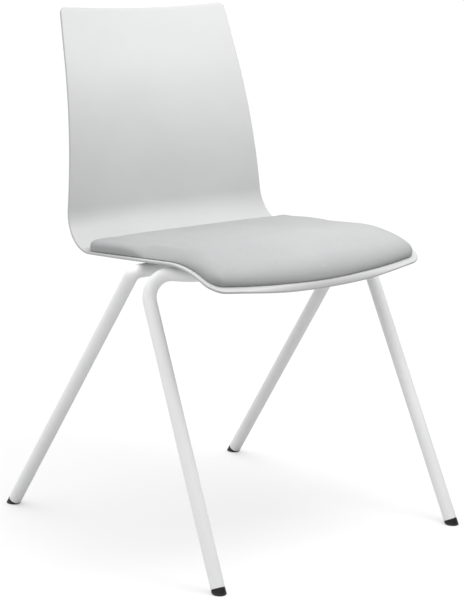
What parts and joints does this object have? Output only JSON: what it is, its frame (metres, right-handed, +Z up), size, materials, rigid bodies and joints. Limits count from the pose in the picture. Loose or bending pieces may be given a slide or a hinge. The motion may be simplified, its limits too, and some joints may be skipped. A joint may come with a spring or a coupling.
{
  "type": "stacking chair",
  "caption": "Armless stacking chair: a moulded shell with an upholstered seat pad on bent steel tube legs with floor glides.",
  "frame": {"origin": "on the floor, in the middle of the four feet", "axes": "+Z up, the sitter faces -Y, +X to the left-hand side of the sitter"},
  "size_m": [0.5259, 0.5942, 0.8522],
  "materials": {
    "shell": "pale grey moulded plastic, satin gloss with a fine texture",
    "frame": "pale grey powder coat, semi-gloss, fine orange peel",
    "pad_cover": null,
    "foam": "open-cell foam, matt",
    "board": "black moulded board, matt",
    "glide": "black nylon, satin",
    "bumper": "dark grey soft plastic, matt",
    "zinc": "bright zinc plate",
    "insert": "turned brass"
  },
  "bodies": {
    "root": {"seat_shell": "shell", "pad_cover": "pad_cover", "pad_foam": "foam", "pad_board": "board", "front_leg_tube": "frame", "rear_leg_tube": "frame", "seat_rail_right": "frame", "seat_rail_left": "frame", "glide_front_right": "glide", "glide_rear_right": "glide", "glide_front_left": "glide", "glide_rear_left": "glide", "shell_screw_front_right": "zinc", "shell_screw_rear_right": "zinc", "shell_screw_front_left": "zinc", "shell_screw_rear_left": "zinc", "screw_washer_front_right": "zinc", "screw_washer_rear_right": "zinc", "screw_washer_front_left": "zinc", "screw_washer_rear_left": "zinc", "thread_insert_front_right": "insert", "thread_insert_rear_right": "insert", "thread_insert_front_left": "insert", "thread_insert_rear_left": "insert", "pad_screw_front_right": "zinc", "pad_screw_rear_right": "zinc", "pad_screw_front_left": "zinc", "pad_screw_rear_left": "zinc", "stacking_bumper_front_right": "bumper", "stacking_bumper_rear_right": "bumper", "stacking_bumper_front_left": "bumper", "stacking_bumper_rear_left": "bumper"}
  },
  "joints": []
}
